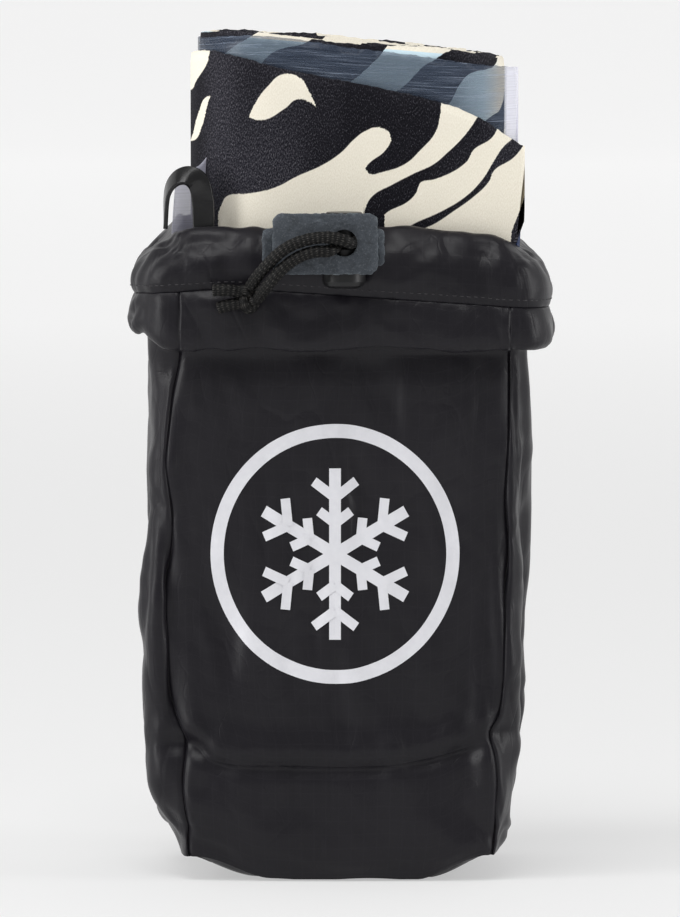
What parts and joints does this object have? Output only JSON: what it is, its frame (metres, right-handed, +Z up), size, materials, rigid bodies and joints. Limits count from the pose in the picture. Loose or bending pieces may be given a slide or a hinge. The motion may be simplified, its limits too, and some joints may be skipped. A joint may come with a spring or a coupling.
{
  "type": "climbing skins in stuff sack",
  "caption": "Drawstring stuff sack with a slouched cuff, cord lock and suede pull patch, holding two rolled splitboard climbing skins that lift out of its mouth.",
  "frame": {"origin": "centre of the sack's footprint, on the surface that it stands on", "axes": "+Z up out of the mouth, -Y out of the printed front panel, +X to the right as seen from the front"},
  "size_m": [0.154, 0.1206, 0.3025],
  "materials": {
    "nylon": "ripstop nylon, soft sheen",
    "print": "silver screen print",
    "cord": "braided polyester",
    "suede": "napped suede",
    "lock": "moulded gloss",
    "spring": "drawn wire",
    "plush": "mohair plush, brush-stroke stripes in cream and charcoal",
    "glue": "tacky glue film",
    "liner": "translucent release film",
    "strap": "glossy urethane",
    "rivet": "satin",
    "tab": "coated webbing",
    "loop": "satin wire"
  },
  "bodies": {
    "sack": {"front_panel": "nylon", "back_panel": "nylon", "left_gusset": "nylon", "right_gusset": "nylon", "base_panel": "nylon", "cord_channel": "nylon", "emblem_print": "print", "channel_drawcord": "cord", "cord_strand_upper": "cord", "cord_strand_lower": "cord", "cord_knot": "cord", "suede_patch": "suede", "suede_backer": "suede", "lock_barrel": "lock", "lock_spring": "spring"},
    "lock_button": {"lock_plunger": "lock"},
    "lower_roll": {"lower_plush": "plush", "lower_glue": "glue", "lower_liner": "liner", "lower_tail_strap": "strap", "lower_strap_rivets": "rivet", "lower_tip_tab": "tab"},
    "upper_roll": {"upper_plush": "plush", "upper_glue": "glue", "upper_liner": "liner", "upper_tail_strap": "strap", "upper_strap_rivets": "rivet", "upper_tip_tab": "tab"},
    "lower_loop": {"lower_tip_loop": "loop"},
    "upper_loop": {"upper_tip_loop": "loop"}
  },
  "joints": [
    {"name": "lower_roll_lift", "type": "slide", "parent": "sack", "child": "lower_roll", "axis": [0, 0, 1], "range_m": [0, 0.245]},
    {"name": "upper_roll_lift", "type": "slide", "parent": "lower_roll", "child": "upper_roll", "axis": [0, 0, 1], "range_m": [0, 0.1]},
    {"name": "lower_tip_swing", "type": "hinge", "parent": "lower_roll", "child": "lower_loop", "pos_m": [-0.00018, -0.00662, 0.077], "axis": [0, 0, 1], "range_deg": [-45, 8]},
    {"name": "upper_tip_swing", "type": "hinge", "parent": "upper_roll", "child": "upper_loop", "pos_m": [-0.00018, -0.00662, 0.2275], "axis": [0, 0, 1], "range_deg": [-45, 8]},
    {"name": "lock_press", "type": "slide", "parent": "sack", "child": "lock_button", "axis": [0, 0, 1], "range_m": [0, 0.0024], "stiffness_N_per_m": 500, "springref_m": -0.002, "deforming": ["lock_spring"]}
  ]
}
